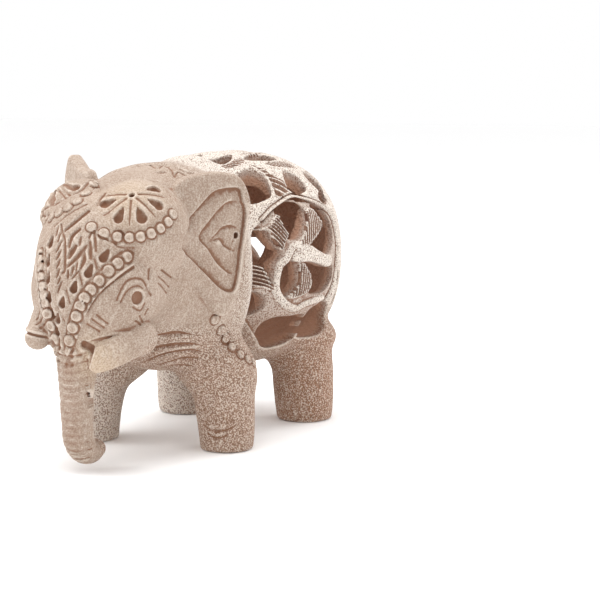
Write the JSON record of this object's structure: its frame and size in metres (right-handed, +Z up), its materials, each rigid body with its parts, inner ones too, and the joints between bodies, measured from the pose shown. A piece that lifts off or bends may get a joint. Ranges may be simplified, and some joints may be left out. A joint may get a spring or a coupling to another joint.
{
  "type": "stone elephant figurine",
  "caption": "Standing elephant carved from one block of stone, with a pierced hollow body, domed brow ornaments, lowered trunk and flat feet to stand on.",
  "frame": {"origin": "middle of the bounding box, on the floor that the four feet stand on", "axes": "+Z up; the elephant faces -Y, so its length is along Y and its left side is +X"},
  "size_m": [0.0628, 0.1242, 0.0806],
  "materials": {
    "soapstone": "dry carved soapstone, pale pinkish cream, tooled and unpolished"
  },
  "bodies": {
    "root": {"elephant": "soapstone"}
  },
  "joints": []
}
